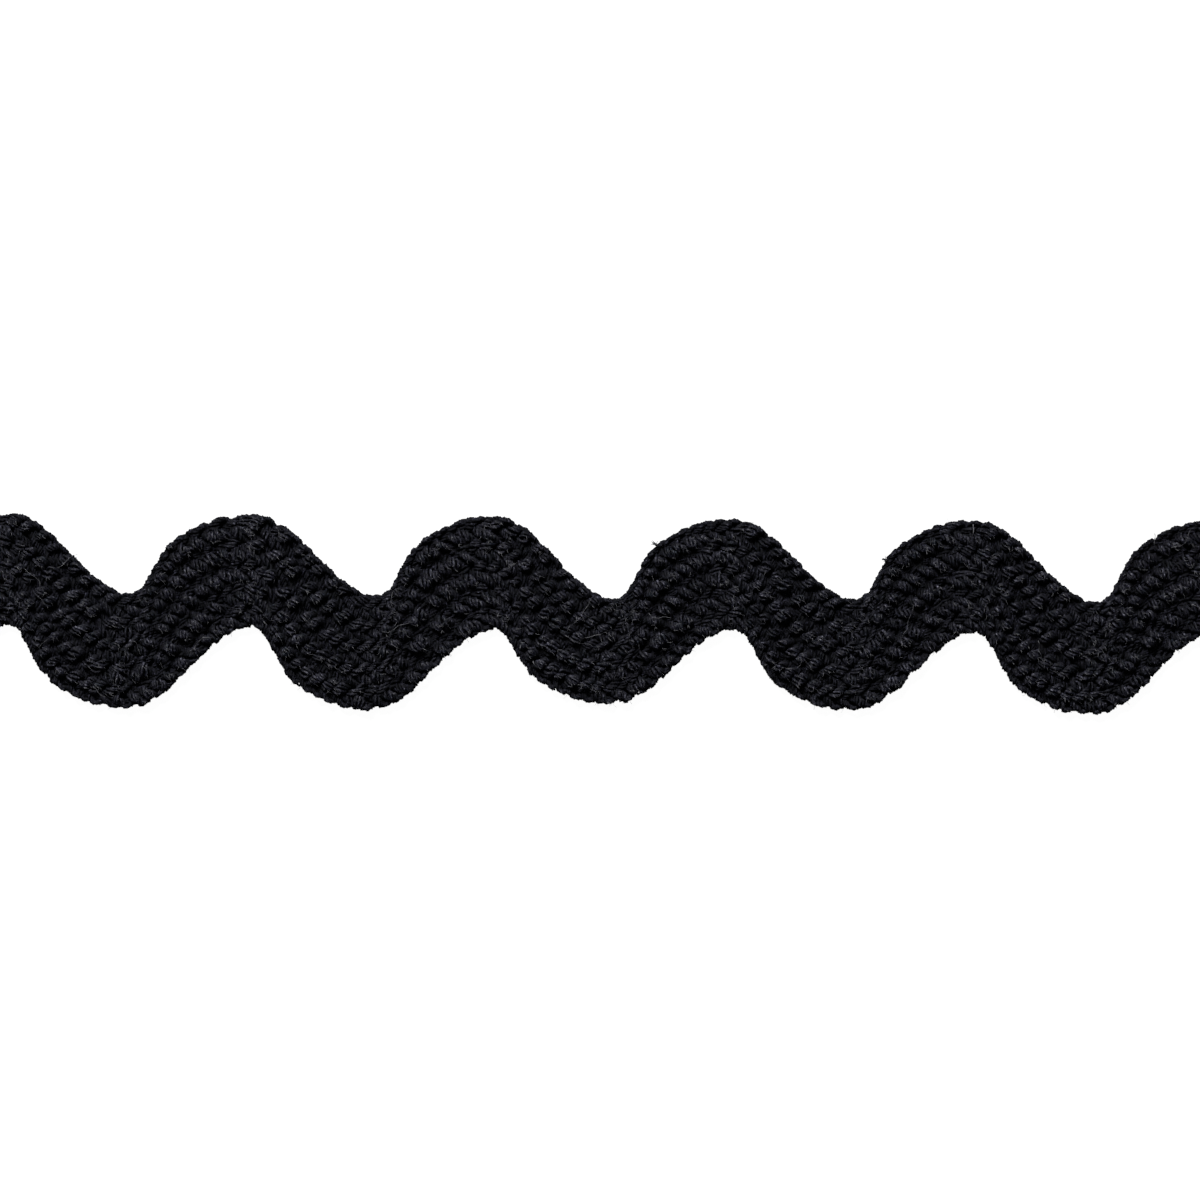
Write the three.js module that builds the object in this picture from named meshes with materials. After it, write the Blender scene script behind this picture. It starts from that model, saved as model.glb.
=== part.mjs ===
// A cut length of ric rac: a flat braid woven in waves, lying face up on a table.
//
// Millimetres. +X runs along the band, +Y across it and +Z up. The origin is on the table, under the
// middle of the band's box. The top and the bottom edge below are the two edges seen from above.

import * as THREE from 'three';

// Driving dimensions
const LENGTH = 110;
const THICKNESS = 1.6;
const RIM_THICKNESS = 0.9;
const RIM_WIDTH = 0.9;
const RIM_CHAMFER = 0.25;
const RIBS = 5.5;
const RIB_RELIEF = 0.38;
const CUT_CLEARANCE = 0.4;

// One wave of an edge, from the crest before a bay to the crest after it. The bay is the hollow between
// two crests: its near side falls gently and its far side climbs steeply. Phase is counted in waves from
// the middle of the bay, and rise goes from 0 on the floor of the bay to 1 on the crest.
const EDGE_WAVE = [
  { phase: -0.5, rise: 1.0 },
  { phase: -0.38, rise: 0.84 },
  { phase: -0.26, rise: 0.49 },
  { phase: -0.12, rise: 0.12 },
  { phase: -0.03, rise: 0.0 },
  { phase: 0.03, rise: 0.02 },
  { phase: 0.1, rise: 0.4 },
  { phase: 0.15, rise: 0.65 },
  { phase: 0.24, rise: 0.82 },
  { phase: 0.38, rise: 0.98 },
  { phase: 0.5, rise: 1.0 },
];

// The bays of each edge, from left to right: where the bay is, how far its floor lies from the band's
// axis, and how far the crest after it reaches. No two waves of the braid are quite alike.
const TOP_BAYS = [
  { x: -74.3, floor: 1.3, crest: 7.5 },
  { x: -55.4, floor: 1.3, crest: 7.5 },
  { x: -36.6, floor: 1.4, crest: 7.5 },
  { x: -17.2, floor: 1.3, crest: 7.5 },
  { x: 1.3, floor: 1.2, crest: 7.4 },
  { x: 20.2, floor: 1.3, crest: 7.4 },
  { x: 39.2, floor: 1.2, crest: 7.5 },
  { x: 57.4, floor: 1.3, crest: 7.5 },
];
const BOTTOM_BAYS = [
  { x: -65.0, floor: 1.2, crest: 7.5 },
  { x: -46.2, floor: 1.2, crest: 7.5 },
  { x: -27.1, floor: 1.2, crest: 7.5 },
  { x: -8.1, floor: 1.3, crest: 6.9 },
  { x: 10.7, floor: 1.2, crest: 7.3 },
  { x: 29.6, floor: 1.3, crest: 7.5 },
  { x: 48.4, floor: 1.2, crest: 7.5 },
  { x: 66.8, floor: 1.2, crest: 7.5 },
];

// Stations along the band, in waves from one bay of the top edge to the next. They lie closer together
// where one of the edges is steep.
const STATIONS = [
  0, 0.05, 0.09, 0.13, 0.18, 0.24, 0.3, 0.36, 0.42, 0.47,
  0.52, 0.56, 0.6, 0.65, 0.71, 0.77, 0.83, 0.89, 0.95,
];

// Smooth interpolation through the rows of a table, with no overshoot between them.
function smoothTable(rows, input, output) {
  const slopes = rows.slice(1).map((row, i) => (row[output] - rows[i][output]) / (row[input] - rows[i][input]));
  const tangents = rows.map((row, i) => {
    const before = slopes[i - 1];
    const after = slopes[i];
    if (before === undefined || after === undefined || before * after <= 0) return 0;
    return (2 * before * after) / (before + after);
  });
  return (value) => {
    const found = rows.findIndex((row) => row[input] > value);
    const i = Math.max(0, (found < 0 ? rows.length - 1 : found) - 1);
    const step = rows[i + 1][input] - rows[i][input];
    const t = THREE.MathUtils.clamp((value - rows[i][input]) / step, 0, 1);
    const t2 = t * t;
    const t3 = t2 * t;
    return (2 * t3 - 3 * t2 + 1) * rows[i][output] + (t3 - 2 * t2 + t) * step * tangents[i]
      + (3 * t2 - 2 * t3) * rows[i + 1][output] + (t3 - t2) * step * tangents[i + 1];
  };
}

const edgeWave = smoothTable(EDGE_WAVE, 'phase', 'rise');

// Distance of an edge from the band's axis at x, from the row of bays in that edge.
function edgeAt(bays, x) {
  const next = bays.findIndex((bay) => bay.x > x);
  const right = bays[next];
  const left = bays[next - 1];
  const part = (x - left.x) / (right.x - left.x);
  const near = part < 0.5 ? left : right;
  const phase = part < 0.5 ? part : part - 1;
  return near.floor + (left.crest - near.floor) * edgeWave(phase);
}

// How far a rib stands out at x: fully where the band climbs, and less on the crests and where it falls.
function ribStrength(x) {
  const axisAt = (place) => (edgeAt(TOP_BAYS, place) - edgeAt(BOTTOM_BAYS, place)) / 2;
  const climb = axisAt(x + 0.5) - axisAt(x - 0.5);
  return THREE.MathUtils.clamp(0.5 + 0.6 * climb, 0.3, 1);
}

// The outline of one station, anticlockwise seen from the band's right end: along the flat underside, up
// the top edge's rim, back over the ribs and down the bottom edge's rim.
function stationRing(x) {
  const top = edgeAt(TOP_BAYS, x);
  const bottom = -edgeAt(BOTTOM_BAYS, x);
  const width = top - bottom;
  const strength = ribStrength(x);
  const ring = [
    [bottom + RIM_CHAMFER, 0],
    [top - RIM_CHAMFER, 0],
    [top, RIM_CHAMFER],
    [top, RIM_THICKNESS - RIM_CHAMFER],
  ];
  const steps = RIBS * 4;
  for (let i = 0; i <= steps; i += 1) {
    const across = i / steps;
    const rib = 0.5 + 0.5 * Math.cos(2 * Math.PI * RIBS * across);
    const fromRim = Math.min(across, 1 - across) * width;
    const inside = THREE.MathUtils.smoothstep(fromRim, -0.2 * RIM_WIDTH, RIM_WIDTH);
    const crown = THICKNESS - RIB_RELIEF * strength * (1 - rib);
    const inset = i === 0 || i === steps ? RIM_CHAMFER : 0;
    const y = top - across * width + (across < 0.5 ? -inset : inset);
    ring.push([y, THREE.MathUtils.lerp(RIM_THICKNESS, crown, inside)]);
  }
  ring.push([bottom, RIM_THICKNESS - RIM_CHAMFER]);
  ring.push([bottom, RIM_CHAMFER]);
  return ring.map(([y, z]) => new THREE.Vector3(x, y, z));
}

// Where the stations are, from one cut end to the other.
function stationPlaces() {
  const inner = TOP_BAYS.slice(0, -1).flatMap((bay, i) => {
    const wave = TOP_BAYS[i + 1].x - bay.x;
    return STATIONS.map((part) => bay.x + part * wave);
  });
  const kept = inner.filter((x) => Math.abs(x) < LENGTH / 2 - CUT_CLEARANCE);
  return [-LENGTH / 2, ...kept, LENGTH / 2];
}

// Closed skin over a row of rings that all have the same number of points.
function loft(rings) {
  const count = rings[0].length;
  const positions = rings.flat().flatMap((point) => point.toArray());
  const index = [];
  for (let i = 0; i + 1 < rings.length; i += 1) {
    for (let j = 0; j < count; j += 1) {
      const a = i * count + j;
      const b = i * count + ((j + 1) % count);
      index.push(a, b, a + count, b, b + count, a + count);
    }
  }
  [0, rings.length - 1].forEach((end) => {
    const flat = rings[end].map((point) => new THREE.Vector2(point.y, point.z));
    THREE.ShapeUtils.triangulateShape(flat, []).forEach(([a, b, c]) => {
      const offset = end * count;
      index.push(...(end === 0 ? [offset + a, offset + c, offset + b] : [offset + a, offset + b, offset + c]));
    });
  });
  const geometry = new THREE.BufferGeometry();
  geometry.setAttribute('position', new THREE.Float32BufferAttribute(positions, 3));
  geometry.setIndex(index);
  geometry.computeVertexNormals();
  return geometry;
}

const blackYarn = new THREE.MeshStandardMaterial({ color: 0x16161b, roughness: 0.9, metalness: 0 });

const band = new THREE.Mesh(loft(stationPlaces().map(stationRing)), blackYarn);
band.name = 'ric_rac_band';

const ricRac = new THREE.Group();
ricRac.add(band);

export default ricRac;
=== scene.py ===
"""A cut length of black ric rac lying flat, braided from real yarns and seen from straight above.

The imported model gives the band's outline and size. The yarns are worked out here as a flat braid: every
carrier's yarn runs from edge to edge, over two and under two of the yarns that cross it, and each yarn is
a round cord of twisted plies. Lengths inside the functions are in millimetres unless a name says
otherwise; the meshes are in metres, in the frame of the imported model.
"""

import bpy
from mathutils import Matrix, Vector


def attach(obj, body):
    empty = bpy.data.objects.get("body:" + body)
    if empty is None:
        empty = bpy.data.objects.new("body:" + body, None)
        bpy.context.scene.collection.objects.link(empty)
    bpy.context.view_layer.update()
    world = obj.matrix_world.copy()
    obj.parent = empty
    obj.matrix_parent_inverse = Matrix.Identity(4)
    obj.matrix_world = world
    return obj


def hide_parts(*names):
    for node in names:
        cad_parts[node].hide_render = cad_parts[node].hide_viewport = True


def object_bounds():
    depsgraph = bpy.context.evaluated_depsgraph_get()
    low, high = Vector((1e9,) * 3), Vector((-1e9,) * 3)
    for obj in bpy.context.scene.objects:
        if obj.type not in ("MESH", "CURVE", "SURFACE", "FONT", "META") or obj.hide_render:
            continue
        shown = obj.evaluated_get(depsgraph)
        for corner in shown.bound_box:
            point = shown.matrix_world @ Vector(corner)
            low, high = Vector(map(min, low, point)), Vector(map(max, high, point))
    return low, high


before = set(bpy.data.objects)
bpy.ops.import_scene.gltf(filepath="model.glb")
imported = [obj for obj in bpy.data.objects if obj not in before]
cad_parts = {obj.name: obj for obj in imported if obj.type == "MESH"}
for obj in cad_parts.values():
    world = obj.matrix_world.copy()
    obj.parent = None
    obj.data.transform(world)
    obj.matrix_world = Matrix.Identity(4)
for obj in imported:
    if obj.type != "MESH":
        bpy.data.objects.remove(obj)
CAD_BOX = [list(corner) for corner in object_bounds()]

import math

import bpy
import numpy as np

BAND = "ric_rac_band"
MM = 0.001

# The photograph: its side in pixels, the width it shows, the row where the band's axis crosses its middle
# column and how far the band falls towards the right, in degrees; then the lens and the sensor.
PHOTO_SIDE = 1200
PHOTO_WIDTH = 93.75
AXIS_ROW = 614.1
PHOTO_ROLL = 0.38
LENS = 120
SENSOR = 36

# The bays of each edge, from left to right, which number the turns of yarn along it. The first bay of
# the bottom edge lies half a wave after the first of the top edge.
TOP_BAYS = [-74.3, -55.4, -36.6, -17.2, 1.3, 20.2, 39.2, 57.4, 76.3]
BOTTOM_BAYS = [-65.0, -46.2, -27.1, -8.1, 10.7, 29.6, 48.4, 66.8, 85.7]
WAVE = 18.85

# The braid: turns of yarn on each edge in one wave, which is also the number of carriers and of the
# columns in which their yarns cross; every yarn goes over two and under two, and is highest at the column
# FLOAT_CENTRE and every REPEAT columns from it.
TURNS = 21
COLUMNS = 21
REPEAT = 4
FLOAT_CENTRE = 3.5

# Where the outermost yarns lie: how far inside the model's edges, more in a bay and less on a crest, how far
# they drop there and over how many columns, and how round their turns are.
EDGE_INSET = 0.10
CREST_BULGE = 0.08
EDGE_DROP = 0.14
EDGE_REACH = 1.6
TURN_ROUNDING = 0.998

# How far the yarns lean on a crest, in turns, how much they crowd towards the top edge where the band climbs
# and towards the bottom edge where it falls, how finely they are worked out and how uneven they are.
LEAN = 0.5
CROWDING = 0.25
STEPS_PER_COLUMN = 4
TURN_JITTER = 0.2
LIFT_JITTER = 0.22

# Heights of a yarn's centre where it is under and over the others. On a climbing stretch the falling yarns
# ride over the rising ones, and on a falling stretch the rising yarns ride over the falling ones: the
# three values are for a yarn that lies deep, one on a crest, and one that rides. MIDDLE is half way up the
# braid. FLOAT_SHAPE sharpens the rise to a float and SWING moves a riding yarn sideways. Where a yarn turns
# back at an edge it is at TURN_HEIGHT of its rise and thinner by TURN_PULL, over TURN_REACH columns.
MIDDLE = 0.72
DEPTH_STATES = (-1, 0, 1)
UNDER_HEIGHTS = (0.34, 0.44, 0.42)
OVER_HEIGHTS = (0.52, 0.98, 1.13)
FLOAT_SHAPE = 1.15
SWING = 0.04
TURN_HEIGHT = 0.95
TURN_REACH = 0.6
TURN_PULL = 0.3

# The dark sheet inside the braid, painted shade for the braid's inside seen through gaps between yarns: its
# upper and lower face, how far it stays inside the edges, as a share of the width, and inside the cuts, and
# how many rows and columns of points it has.
GROUND_HEIGHTS = (0.36, 0.2)
GROUND_INSET = 0.014
CUT_INSET = 0.12
GROUND_ROWS = 260
GROUND_COLUMNS = 13

# Each yarn is a cord of plies, a little flattened, and twisted so that they cross it like the middle
# stroke of a Z. It is narrower where the yarns lie close, and wider where it is on top by OVER_WIDENING.
# Every ply stays TABLE_GAP above the table.
PLIES = 4
PLY_RADIUS = 0.13
COIL_RADIUS = 0.31
NARROWEST_COIL = 0.15
COIL_HEIGHT = 0.15
COIL_PITCH = 1.25
UNDER_WIDTH = 0.8
OVER_WIDENING = 0.2
TABLE_GAP = 0.01

# Slow drifts that keep the cords uneven, each as the steps between fresh values and their size: of a cord's
# width and height, of its twist, of a ply's place in the twist, of how far it stands out and of its radius.
SIZE_DRIFT = (8, 0.2)
TWIST_DRIFT = (12, 0.3)
PLACE_DRIFT = (5, 0.4)
LOOSE_DRIFT = (6, 0.25)
PLY_DRIFT = (4, 0.25)

# How finely the tubes are made, how far apart their stretches of the texture start, how many pieces the
# yarns are split into, and the seed of every random draw.
PATH_STEP = 0.16
SIDES = 4
TEXTURE_SPREAD = 100
YARN_PIECES = 5
SEED = 7

# Loose fibres: how many lie on the yarns, stand out from the edges and are long; their lengths, how thick
# they are, and which way they run and how much that varies, in radians. Two tufts stick out of the top
# edge, and five hairs lie where the photograph shows them, each with its start, heading and length.
SHORT_FIBRES = 3300
EDGE_FIBRES = 90
LONG_FIBRES = 16
TUFT_FIBRES = 16
SHORT_LENGTHS = (0.14, 0.5)
EDGE_LENGTHS = (0.25, 0.6)
LONG_LENGTHS = (1.6, 3.4)
TUFT_LENGTHS = (0.25, 0.5)
FINE_FIBRE = 0.009
MIDDLING_FIBRE = 0.014
STOUT_FIBRE = 0.018
TUFT_FIBRE = 0.032
HAIR = 0.03
HAIR_HEIGHT = 1.5
SHORT_HEADING = -0.85
SHORT_SPREAD = 0.45
EDGE_SPREAD = 0.7
EDGE_FIBRE_HEIGHTS = (0.6, 1.0)
TUFTS = [(4.4, 5.4), (22.45, 4.3)]
TUFT_REACH = 0.08
TUFT_HEADING = 2.5
TUFT_SPREAD = 0.25
TUFT_HEIGHTS = (0.5, 1.1)
HAIRS = [
    (-32.0, -3.1, 0.45, 2.3), (3.8, 0.1, -0.95, 1.9), (-5.2, -3.7, -1.5, 1.0), (29.1, 7.2, -1.3, 1.2),
    (43.3, 6.6, -1.6, 0.9),
]

# Fibres start on plies above SHOWN_FROM. Each rises a little, no higher than the ceiling, curls by chance and
# also bends steadily, and thins to FIBRE_TIP of its radius.
SHOWN_FROM = 1.0
FIBRE_RISES = (0.02, 0.2)
FIBRE_CEILING = 1.66
FIBRE_CURL = 0.7
STEADY_BEND = 3
FIBRE_TIP = 0.6
FIBRE_POINTS = 7
FIBRE_SIDES = 3

# The yarn's surface. Each list gives the stops of a ramp, as a place and a colour: tones along the fibres,
# whose bright streaks are painted glints, wear from patch to patch, fine painted glints, and the painted
# shade and the roughness of yarn near MIDDLE and away from it.
YARN_TONES_AND_GLINTS = [
    (0.40, (0.0024, 0.0026, 0.0042)), (0.54, (0.0075, 0.0078, 0.0110)), (0.70, (0.066, 0.066, 0.075)),
]
YARN_WEAR = [(0.34, (0.42, 0.48, 0.52)), (0.5, (0.82, 0.79, 0.86)), (0.68, (1.3, 1.3, 1.34))]
YARN_GLINTS = [(0.40, (0.66, 0.66, 0.69)), (0.57, (0.88, 0.88, 0.91)), (0.70, (3.0, 3.0, 3.0))]
YARN_SHADE = [(0.0, (0.20, 0.20, 0.25)), (1.0, (1.0, 1.0, 1.0))]
YARN_ROUGHNESS = [(0.1, (0.8, 0.8, 0.8)), (0.9, (0.38, 0.38, 0.38))]
# The dark sheet's tones are painted shade for the braid's inside.
SHADE_SHEET_TONES = [(0.3, (0.003, 0.003, 0.004)), (0.7, (0.009, 0.009, 0.012))]
# The loose fibres' tones; the paler ones are painted glints.
FIBRE_TONES_AND_GLINTS = [(0.40, (0.010, 0.010, 0.013)), (0.68, (0.13, 0.13, 0.14))]

# Sizes of the noises, how the fibres' noise is stretched and slanted on a ply, between which distances from
# MIDDLE the painted shade and the roughness change, and how deep the fibres' bumps are.
GRAIN_STRETCH = (4.0, 9.0, 1.0)
GRAIN_SLANT = 0.3
WEAR_SCALE = 1100.0
GLINT_SCALE = 4800.0
GROUND_SCALE = 3000.0
FIBRE_SCALE = 2600.0
SHADE_REACH = (0.12, 0.62)
BUMP_DEPTH = 0.07

# The studio, in metres: the floor's side and glow, the room's light, the key light and the picture's gamma.
FLOOR_SIDE = 40
FLOOR_GLOW = 0.97
ROOM_LIGHT = 0.1
KEY_PLACE = (-0.145, 0.40, 0.38)
KEY_SIZE = 0.2
KEY_POWER = 7.9
GAMMA = 1.12


def smoothed(values, width):
    """values with a bell curve of that width, in steps, run over them."""
    reach = int(3 * width) + 1
    bell = np.exp(-0.5 * (np.arange(-reach, reach + 1) / width) ** 2)
    padded = np.pad(values, reach, mode="edge")
    return np.convolve(padded, bell / bell.sum(), mode="valid")


class Edge:
    """One edge of the band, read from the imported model, with the place of each turn of yarn on it."""

    STEP = 0.02
    SOFTNESS = 0.25
    SAME_STATION = 0.01

    def __init__(self, points, pick, bays, first_turn):
        stations = np.unique(np.round(points[:, 0], 3))
        heights = np.array([
            pick(points[np.abs(points[:, 0] - x) < self.SAME_STATION, 1]) for x in stations
        ])
        self.x = np.arange(bays[0], bays[-1] + self.STEP, self.STEP)
        waves_out = np.where(self.x < stations[0], np.ceil((stations[0] - self.x) / WAVE), 0)
        waves_out = np.where(self.x > stations[-1], -np.ceil((self.x - stations[-1]) / WAVE), waves_out)
        self.y = smoothed(np.interp(self.x + waves_out * WAVE, stations, heights), self.SOFTNESS / self.STEP)
        self.arc = np.concatenate([[0.0], np.cumsum(np.hypot(np.diff(self.x), np.diff(self.y)))])
        self.turns = first_turn + TURNS * np.arange(len(bays))
        self.marks = np.interp(bays, self.x, self.arc)

    def at(self, turn):
        """The point of the edge at that turn."""
        arc = np.interp(turn, self.turns, self.marks)
        return np.stack([np.interp(arc, self.arc, self.x), np.interp(arc, self.arc, self.y)], axis=-1)


def read_edges():
    """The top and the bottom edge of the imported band."""
    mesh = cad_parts[BAND].data
    points = np.empty(len(mesh.vertices) * 3)
    mesh.vertices.foreach_get("co", points)
    points = points.reshape(-1, 3) / MM
    top = Edge(points, np.max, TOP_BAYS, 0)
    bottom = Edge(points, np.min, BOTTOM_BAYS, TURNS / 2)
    return top, bottom


class Band:
    """The plane of the braid: a turn along it and a share of the way across, from the top edge."""

    def __init__(self, top, bottom):
        self.top = top
        self.bottom = bottom

    def at(self, turn, across):
        phase = 2 * np.pi * turn / TURNS
        lean = LEAN * np.cos(phase)
        a = self.top.at(turn + lean)
        b = self.bottom.at(turn - lean)
        climb = np.sin(phase)
        far_side = np.where(climb > 0, 1 - across, across)
        across = across - CROWDING * climb * across * (1 - across) * far_side
        width = np.linalg.norm(a - b, axis=-1)
        from_top = (EDGE_INSET + CREST_BULGE * np.cos(phase)) / width
        from_bottom = (EDGE_INSET - CREST_BULGE * np.cos(phase)) / width
        share = (from_top + (1 - from_top - from_bottom) * across)[..., None]
        return a * (1 - share) + b * share


def wandering(rng, count, step, size):
    """count values of a slow random drift, a fresh one every step of them."""
    knots = rng.normal(0, size, int(count / step) + 3)
    return smoothed(np.interp(np.arange(count) / step, np.arange(len(knots)), knots), step / 2)


def unit(vectors):
    """Each vector at length one."""
    return vectors / np.linalg.norm(vectors, axis=-1)[..., None]


def yarn_course(band, carrier, rng):
    """One carrier's yarn at even steps: centre line, room to the next yarn, share of its rise, thinning."""
    half = COLUMNS * STEPS_PER_COLUMN
    laps = int(2 * (TOP_LAST - carrier) / TURNS)
    steps = np.arange(laps * half + 1)
    lap = steps / half
    turn = carrier + lap * TURNS / 2
    sign = np.where(np.mod(lap, 2) < 1, 1.0, -1.0)
    column = np.mod(lap, 1) * COLUMNS
    across = 0.5 - 0.5 * np.arcsin(TURN_ROUNDING * np.cos(np.pi * lap)) / np.arcsin(TURN_ROUNDING)
    from_edge = np.minimum(column, COLUMNS - column)
    inside = np.clip(from_edge - 0.5, 0, 1)
    stitch = 2 * np.pi * (column - FLOAT_CENTRE) / REPEAT
    over = (0.5 + 0.5 * np.cos(stitch)) ** FLOAT_SHAPE
    over = np.maximum(over, TURN_HEIGHT * np.exp(-(from_edge / TURN_REACH) ** 2))
    riding = sign * np.sin(2 * np.pi * turn / TURNS) * inside
    swing = -SWING * np.maximum(riding, 0) * np.sin(stitch)
    drift = wandering(rng, len(steps), 3 * STEPS_PER_COLUMN, TURN_JITTER)
    place = band.at(turn + swing + drift, across)
    low = np.interp(riding, DEPTH_STATES, UNDER_HEIGHTS)
    high = np.interp(riding, DEPTH_STATES, OVER_HEIGHTS)
    lift = (high - low) * (1 + wandering(rng, len(steps), 2 * STEPS_PER_COLUMN, LIFT_JITTER))
    height = low + lift * over - EDGE_DROP * np.exp(-(from_edge / EDGE_REACH) ** 2)
    pick = band.at(turn + 0.5, across) - band.at(turn - 0.5, across)
    along = unit(np.gradient(place, axis=0))
    spacing = np.abs(pick[:, 0] * along[:, 1] - pick[:, 1] * along[:, 0])
    line = np.column_stack([place, height])
    arc = np.concatenate([[0.0], np.cumsum(np.linalg.norm(np.diff(line, axis=0), axis=1))])
    even = np.arange(0, arc[-1], PATH_STEP)
    line = np.stack([np.interp(even, arc, line[:, i]) for i in range(3)], axis=1)
    pull = 1 - TURN_PULL * np.exp(-(from_edge / TURN_REACH) ** 2)
    return line, np.interp(even, arc, spacing), np.interp(even, arc, over), np.interp(even, arc, pull)


def ply_paths(band, carrier, rng):
    """The plies of one carrier's yarn: rows of a point, the way out from the yarn's middle and a radius."""
    line, spacing, over, pull = yarn_course(band, carrier, rng)
    tangent = unit(np.gradient(line, axis=0))
    side = unit(np.stack([-tangent[:, 1], tangent[:, 0], np.zeros(len(line))], axis=1))
    up = np.cross(tangent, side)
    width = np.clip(0.5 * spacing - 0.5 * PLY_RADIUS, NARROWEST_COIL, COIL_RADIUS) * pull
    width = width * (UNDER_WIDTH + OVER_WIDENING * over) * (1 + wandering(rng, len(line), *SIZE_DRIFT))
    height = COIL_HEIGHT * (1 + wandering(rng, len(line), *SIZE_DRIFT))
    turned = 2 * np.pi * PATH_STEP / COIL_PITCH * np.cumsum(1 + wandering(rng, len(line), *TWIST_DRIFT))
    turned += rng.uniform(0, 2 * np.pi)
    paths = []
    for ply in range(PLIES):
        angle = turned + 2 * np.pi * ply / PLIES + wandering(rng, len(line), *PLACE_DRIFT)
        out = side * (width * np.cos(angle))[:, None] + up * (height * np.sin(angle))[:, None]
        loose = 1 + wandering(rng, len(line), *LOOSE_DRIFT)
        radius = PLY_RADIUS * (1 + wandering(rng, len(line), *PLY_DRIFT))
        centre = line + out * loose[:, None]
        centre[:, 2] = np.maximum(centre[:, 2], radius + TABLE_GAP)
        paths.append(np.column_stack([centre, out, radius]))
    return paths


def cut(path, low, high):
    """The stretches of a path between two cuts across the band, each ending on the cut."""
    x = path[:, 0]
    kept = (x > low) & (x < high)
    pieces = []
    start = None
    for i in range(len(path)):
        if kept[i] and start is None:
            start = i
        if start is not None and (not kept[i] or i == len(path) - 1):
            piece = path[start:i]
            if start > 0:
                piece = np.vstack([crossing(path[start - 1], path[start], low, high), piece])
            if not kept[i]:
                piece = np.vstack([piece, crossing(path[i], path[i - 1], low, high)])
            if len(piece) > 3:
                pieces.append(piece)
            start = None
    return pieces


def crossing(outer, inner, low, high):
    """The point between two points of a path where it meets a cut."""
    bound = low if outer[0] <= low else high
    share = (bound - outer[0]) / (inner[0] - outer[0])
    return outer + (inner - outer) * share


def tube(path, sides, start):
    """Points, faces and texture places of a tube along a path, with closed ends."""
    centre = path[:, :3]
    tangent = unit(np.gradient(centre, axis=0))
    side = unit(np.cross(tangent, path[:, 3:6]))
    up = np.cross(side, tangent)
    angle = 2 * np.pi * np.arange(sides) / sides
    ring = np.cos(angle)[None, :, None] * up[:, None] + np.sin(angle)[None, :, None] * side[:, None]
    points = (centre[:, None] + ring * path[:, 6, None, None]).reshape(-1, 3)
    n = len(path)
    i, j = np.meshgrid(np.arange(n - 1), np.arange(sides), indexing="ij")
    k = (j + 1) % sides
    walls = np.stack([i * sides + j, i * sides + k, (i + 1) * sides + k, (i + 1) * sides + j], -1)
    length = start + np.concatenate([[0.0], np.cumsum(np.linalg.norm(np.diff(centre, axis=0), axis=1))])
    places = np.stack([
        np.stack([length[i], j / sides], -1), np.stack([length[i], (j + 1) / sides], -1),
        np.stack([length[i + 1], (j + 1) / sides], -1), np.stack([length[i + 1], j / sides], -1),
    ], -2)
    caps = [list(range(sides))[::-1], list(range((n - 1) * sides, n * sides))]
    return points, walls.reshape(-1, 4), places.reshape(-1, 4, 2), caps


def loose_fibre(start, heading, length, radius, rng):
    """A fine fibre that leaves a yarn in that direction, curls, and settles again on the braid."""
    along = np.arange(FIBRE_POINTS)
    step = length / (FIBRE_POINTS - 1)
    bend = FIBRE_CURL * math.sqrt(step)
    chance = np.cumsum(rng.normal(0, bend, FIBRE_POINTS))
    turned = heading + chance + rng.normal(0, bend / STEADY_BEND) * along
    x = start[0] + np.concatenate([[0.0], np.cumsum(step * np.cos(turned[:-1]))])
    y = start[1] + np.concatenate([[0.0], np.cumsum(step * np.sin(turned[:-1]))])
    rise = np.sin(np.pi * along / (FIBRE_POINTS - 1)) * rng.uniform(*FIBRE_RISES)
    z = np.minimum(start[2] + rise, FIBRE_CEILING)
    flat = np.tile([0.0, 0.0, 1.0], (FIBRE_POINTS, 1))
    thin = radius * np.linspace(1.0, FIBRE_TIP, FIBRE_POINTS)
    return tube(np.column_stack([x, y, z, flat, thin]), FIBRE_SIDES, TEXTURE_SPREAD * rng.random())


def loose_fibres(band, stretches, low, high, rng):
    """All the loose fibres: on the topmost plies, along the edges, a few long ones, the tufts and hairs."""
    rows = np.vstack(stretches)
    shown = rows[(rows[:, 5] > 0) & (rows[:, 2] > SHOWN_FROM)]
    planned = []
    for row in shown[rng.integers(0, len(shown), SHORT_FIBRES)]:
        start = (row[0], row[1], row[2] + row[6])
        heading = rng.normal(SHORT_HEADING, SHORT_SPREAD)
        planned.append((start, heading, rng.uniform(*SHORT_LENGTHS), MIDDLING_FIBRE))
    for i in range(EDGE_FIBRES):
        turn = rng.uniform(TURNS, TOP_LAST - TURNS)
        edge = i % 2
        outward = band.at(turn, edge) - band.at(turn, 1 - edge)
        heading = math.atan2(outward[1], outward[0]) + rng.normal(0, EDGE_SPREAD)
        start = (*band.at(turn, edge), rng.uniform(*EDGE_FIBRE_HEIGHTS))
        planned.append((start, heading, rng.uniform(*EDGE_LENGTHS), FINE_FIBRE))
    for row in shown[rng.integers(0, len(shown), LONG_FIBRES)]:
        start = (row[0], row[1], row[2] + row[6])
        planned.append((start, rng.uniform(0, 2 * math.pi), rng.uniform(*LONG_LENGTHS), STOUT_FIBRE))
    for x, y in TUFTS:
        for _ in range(TUFT_FIBRES):
            start = (
                x + rng.uniform(-TUFT_REACH, TUFT_REACH),
                y + rng.uniform(-TUFT_REACH, TUFT_REACH),
                rng.uniform(*TUFT_HEIGHTS),
            )
            heading = rng.normal(TUFT_HEADING, TUFT_SPREAD)
            planned.append((start, heading, rng.uniform(*TUFT_LENGTHS), TUFT_FIBRE))
    for x, y, heading, length in HAIRS:
        planned.append(((x, y, HAIR_HEIGHT), heading, length, HAIR))
    return [
        loose_fibre(start, heading, length, radius, rng) for start, heading, length, radius in planned
        if low + length < start[0] < high - length
    ]


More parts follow.
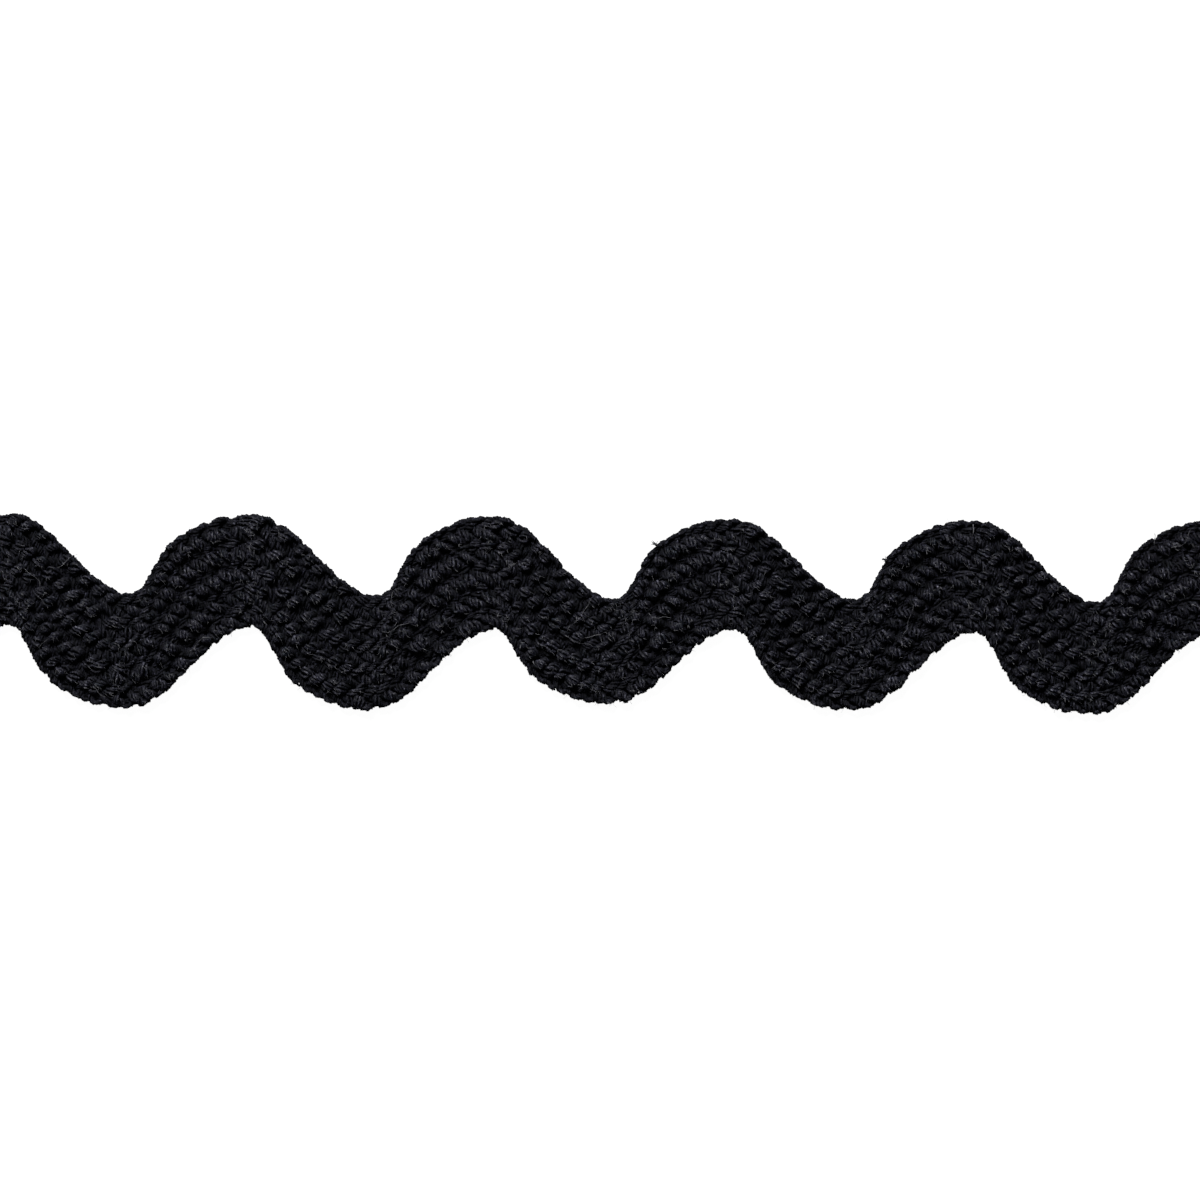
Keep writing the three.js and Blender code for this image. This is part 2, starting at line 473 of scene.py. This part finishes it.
def add_mesh(name, parts, material):
    """One object from the points, faces and texture places of several tubes."""
    points = np.concatenate([part[0] for part in parts]) * MM
    offsets = np.cumsum([0] + [len(part[0]) for part in parts])
    walls = np.concatenate([part[1] + offset for part, offset in zip(parts, offsets)])
    caps = [[v + offset for v in cap] for part, offset in zip(parts, offsets) for cap in part[3]]
    corners = np.concatenate([walls.ravel(), np.array([v for cap in caps for v in cap], dtype=int)])
    sizes = np.concatenate([np.full(len(walls), 4), [len(cap) for cap in caps]]).astype(np.int32)
    places = np.concatenate([part[2].reshape(-1, 2) for part in parts])
    places = np.concatenate([places, np.zeros((len(corners) - len(places), 2))])
    mesh = bpy.data.meshes.new(name)
    mesh.vertices.add(len(points))
    mesh.vertices.foreach_set("co", points.ravel())
    mesh.loops.add(len(corners))
    mesh.loops.foreach_set("vertex_index", corners.astype(np.int32))
    mesh.polygons.add(len(sizes))
    mesh.polygons.foreach_set("loop_start", np.concatenate([[0], np.cumsum(sizes)[:-1]]).astype(np.int32))
    mesh.polygons.foreach_set("use_smooth", np.full(len(sizes), True))
    layer = mesh.uv_layers.new(name="yarn")
    layer.data.foreach_set("uv", places.ravel())
    mesh.update(calc_edges=True)
    piece = bpy.data.objects.new(name, mesh)
    bpy.context.scene.collection.objects.link(piece)
    mesh.materials.append(material)
    return piece


def node(tree, kind, **inputs):
    """A shader node with some of its inputs set or linked."""
    made = tree.nodes.new(kind)
    for name, value in inputs.items():
        socket = made.inputs[name.replace("_", " ")]
        if isinstance(value, bpy.types.NodeSocket):
            tree.links.new(value, socket)
        else:
            socket.default_value = value
    return made


def ramp(tree, factor, stops):
    """A colour that goes from stop to stop as a factor rises."""
    made = node(tree, "ShaderNodeValToRGB", Fac=factor)
    elements = made.color_ramp.elements
    for i, (position, colour) in enumerate((stops[0], stops[-1])):
        elements[i].position = position
        elements[i].color = (*colour, 1)
    for position, colour in stops[1:-1]:
        elements.new(position).color = (*colour, 1)
    return made.outputs["Color"]


def multiplied(tree, first, second):
    """Two colours multiplied."""
    made = tree.nodes.new("ShaderNodeMix")
    made.data_type = "RGBA"
    made.blend_type = "MULTIPLY"
    made.inputs[0].default_value = 1.0
    tree.links.new(first, made.inputs[6])
    tree.links.new(second, made.inputs[7])
    return made.outputs[2]


def yarn_material():
    """Black yarn: fine fibres along each ply, tones that differ from place to place, painted glints, and
    painted shade on yarn that lies near MIDDLE.
    """
    material = bpy.data.materials.new("black_yarn")
    material.use_nodes = True
    tree = material.node_tree
    shader = tree.nodes["Principled BSDF"]
    place = tree.nodes.new("ShaderNodeUVMap")
    place.uv_map = "yarn"
    stretch = tree.nodes.new("ShaderNodeMapping")
    tree.links.new(place.outputs["UV"], stretch.inputs["Vector"])
    stretch.inputs["Scale"].default_value = GRAIN_STRETCH
    stretch.inputs["Rotation"].default_value = (0, 0, GRAIN_SLANT)
    grain = stretch.outputs["Vector"]
    fibres = node(tree, "ShaderNodeTexNoise", Vector=grain, Scale=1.0, Detail=3.0, Roughness=0.6)
    where = tree.nodes.new("ShaderNodeTexCoord")
    patches = node(tree, "ShaderNodeTexNoise", Vector=where.outputs["Object"], Scale=WEAR_SCALE, Detail=2.0)
    parts = node(tree, "ShaderNodeSeparateXYZ", Vector=where.outputs["Object"])
    depth = tree.nodes.new("ShaderNodeMath")
    depth.operation = "SUBTRACT"
    tree.links.new(parts.outputs["Z"], depth.inputs[0])
    depth.inputs[1].default_value = MIDDLE * MM
    outward = tree.nodes.new("ShaderNodeMath")
    outward.operation = "ABSOLUTE"
    tree.links.new(depth.outputs[0], outward.inputs[0])
    near, far = SHADE_REACH
    reach = node(
        tree, "ShaderNodeMapRange", Value=outward.outputs[0], From_Min=near * MM, From_Max=far * MM
    )
    # Tones along the fibres; their bright streaks are painted glints.
    tone = ramp(tree, fibres.outputs["Fac"], YARN_TONES_AND_GLINTS)
    wear = ramp(tree, patches.outputs["Fac"], YARN_WEAR)
    # Painted shade: the nearer the yarn lies to MIDDLE, the darker it is painted, as deep yarn in shadow.
    shade = ramp(tree, reach.outputs[0], YARN_SHADE)
    # Painted glints: fine bright specks multiplied into the colour.
    specks = node(tree, "ShaderNodeTexNoise", Vector=where.outputs["Object"], Scale=GLINT_SCALE, Detail=1.0)
    glints = ramp(tree, specks.outputs["Fac"], YARN_GLINTS)
    tone = multiplied(tree, multiplied(tree, tone, wear), multiplied(tree, shade, glints))
    tree.links.new(tone, shader.inputs["Base Color"])
    roughness = ramp(tree, reach.outputs[0], YARN_ROUGHNESS)
    tree.links.new(roughness, shader.inputs["Roughness"])
    shader.inputs["Specular IOR Level"].default_value = 0.06
    bump = node(
        tree, "ShaderNodeBump", Height=fibres.outputs["Fac"], Strength=1.0, Distance=BUMP_DEPTH * MM
    )
    tree.links.new(bump.outputs["Normal"], shader.inputs["Normal"])
    return material


def painted_shade_material():
    """Painted shade: a dark sheet for the shaded inside of the braid, seen only through the gaps between
    yarns.
    """
    material = bpy.data.materials.new("braid_painted_shade")
    material.use_nodes = True
    tree = material.node_tree
    shader = tree.nodes["Principled BSDF"]
    place = tree.nodes.new("ShaderNodeTexCoord")
    grain = node(tree, "ShaderNodeTexNoise", Vector=place.outputs["Object"], Scale=GROUND_SCALE, Detail=2.0)
    # Painted shade: a very dark tone for the shaded inside of the braid.
    tone = ramp(tree, grain.outputs["Fac"], SHADE_SHEET_TONES)
    tree.links.new(tone, shader.inputs["Base Color"])
    shader.inputs["Roughness"].default_value = 0.9
    shader.inputs["Specular IOR Level"].default_value = 0.0
    return material


def fibre_material():
    """The loose fibres: the yarn's own black, paler in random places as painted glints."""
    material = bpy.data.materials.new("loose_fibre")
    material.use_nodes = True
    tree = material.node_tree
    shader = tree.nodes["Principled BSDF"]
    place = tree.nodes.new("ShaderNodeTexCoord")
    patches = node(tree, "ShaderNodeTexNoise", Vector=place.outputs["Object"], Scale=FIBRE_SCALE, Detail=2.0)
    # Painted glints: some fibres are paler at random, as if they caught the light.
    tone = ramp(tree, patches.outputs["Fac"], FIBRE_TONES_AND_GLINTS)
    tree.links.new(tone, shader.inputs["Base Color"])
    shader.inputs["Roughness"].default_value = 0.45
    shader.inputs["Specular IOR Level"].default_value = 0.15
    return material


def painted_shade_sheet(band, low, high, material):
    """The dark sheet of painted shade inside the braid, closed and a little inside the edges and the cuts."""
    turns = np.arange(TURNS * 0.5, TOP_LAST, 0.5)
    columns = []
    for share in np.linspace(GROUND_INSET, 1 - GROUND_INSET, GROUND_COLUMNS):
        line = band.at(turns, np.full(len(turns), share))
        ends = np.interp([low + CUT_INSET, high - CUT_INSET], line[:, 0], turns)
        even = np.linspace(ends[0], ends[1], GROUND_ROWS)
        columns.append(band.at(even, np.full(GROUND_ROWS, share)))
    grid = np.stack(columns, axis=1)
    n, m = grid.shape[:2]
    layers = [np.dstack([grid, np.full((n, m), height)]).reshape(-1, 3) for height in GROUND_HEIGHTS]
    i, j = np.meshgrid(np.arange(n - 1), np.arange(m - 1), indexing="ij")
    quad = np.stack([i * m + j, i * m + j + 1, (i + 1) * m + j + 1, (i + 1) * m + j], -1).reshape(-1, 4)
    rim = [k for k in range(m - 1)] + [k * m + m - 1 for k in range(n - 1)]
    rim += [(n - 1) * m + k for k in range(m - 1, 0, -1)] + [k * m for k in range(n - 1, 0, -1)]
    rim = np.array(rim)
    after = np.roll(rim, -1)
    walls = np.stack([rim, rim + n * m, after + n * m, after], -1)
    faces = np.concatenate([quad, quad[:, ::-1] + n * m, walls])
    points = np.concatenate(layers)
    return add_mesh("ric_rac_painted_shade", [(points, faces, np.zeros((len(faces), 4, 2)), [])], material)


def make_camera():
    """Straight above the band, turned and placed as in the photograph."""
    data = bpy.data.cameras.new("camera")
    data.lens = LENS
    data.sensor_width = SENSOR
    distance = PHOTO_WIDTH * LENS / SENSOR * MM
    data.clip_start = distance / 100
    data.clip_end = distance * 100
    camera = bpy.data.objects.new("camera", data)
    above = (AXIS_ROW - PHOTO_SIDE / 2) * PHOTO_WIDTH / PHOTO_SIDE * MM
    camera.location = (0, above, distance + 2 * MIDDLE * MM)
    camera.rotation_euler = (0, 0, math.radians(PHOTO_ROLL))
    bpy.context.scene.collection.objects.link(camera)
    bpy.context.scene.camera = camera


def make_light():
    """The key: a square soft light above the top edge, a little to the left, that faces the band."""
    data = bpy.data.lights.new("key", "AREA")
    data.size = KEY_SIZE
    data.energy = KEY_POWER
    light = bpy.data.objects.new("key", data)
    light.location = KEY_PLACE
    bpy.context.scene.collection.objects.link(light)
    direction = -light.location
    light.rotation_euler = direction.to_track_quat("-Z", "Y").to_euler()


def make_studio():
    """A pale floor that glows like a lit table but doesn't light the yarn, the key light and a dim room."""
    bpy.ops.mesh.primitive_plane_add(size=FLOOR_SIDE)
    floor = bpy.context.object
    floor.name = "floor"
    material = bpy.data.materials.new("pale_floor")
    material.use_nodes = True
    shader = material.node_tree.nodes["Principled BSDF"]
    shader.inputs["Base Color"].default_value = (0.1, 0.1, 0.1, 1)
    shader.inputs["Roughness"].default_value = 0.9
    shader.inputs["Specular IOR Level"].default_value = 0.0
    shader.inputs["Emission Color"].default_value = (1, 1, 1, 1)
    shader.inputs["Emission Strength"].default_value = FLOOR_GLOW
    floor.data.materials.append(material)
    floor.visible_diffuse = False
    floor.visible_glossy = False
    world = bpy.data.worlds.new("studio")
    world.use_nodes = True
    world.node_tree.nodes["Background"].inputs["Color"].default_value = (1, 1, 1, 1)
    world.node_tree.nodes["Background"].inputs["Strength"].default_value = ROOM_LIGHT
    bpy.context.scene.world = world
    make_light()
    bpy.context.scene.view_settings.view_transform = "Standard"
    bpy.context.scene.view_settings.gamma = GAMMA


def dress(piece):
    """Hang the piece on the band's root body."""
    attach(piece, "root")


TOP_LAST = TURNS * (len(TOP_BAYS) - 1)
make_camera()
make_studio()
top_edge, bottom_edge = read_edges()
braid = Band(top_edge, bottom_edge)
low_cut = CAD_BOX[0][0] / MM
high_cut = CAD_BOX[1][0] / MM
yarn = yarn_material()
random_source = np.random.default_rng(SEED)
yarn_pieces = []
all_stretches = []
for group in range(YARN_PIECES):
    stretches = []
    for carrier in range(group, TURNS, YARN_PIECES):
        for path in ply_paths(braid, carrier, random_source):
            stretches.extend(cut(path, low_cut, high_cut))
    tubes = [tube(stretch, SIDES, TEXTURE_SPREAD * random_source.random()) for stretch in stretches]
    yarn_pieces.append(add_mesh(f"braided_yarns_{group + 1}", tubes, yarn))
    all_stretches.extend(stretches)
fibres = loose_fibres(braid, all_stretches, low_cut, high_cut, random_source)
yarn_pieces.append(add_mesh("loose_fibres", fibres, fibre_material()))
ground = painted_shade_sheet(braid, low_cut, high_cut, painted_shade_material())
for piece in [ground, *yarn_pieces]:
    dress(piece)
    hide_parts(BAND)
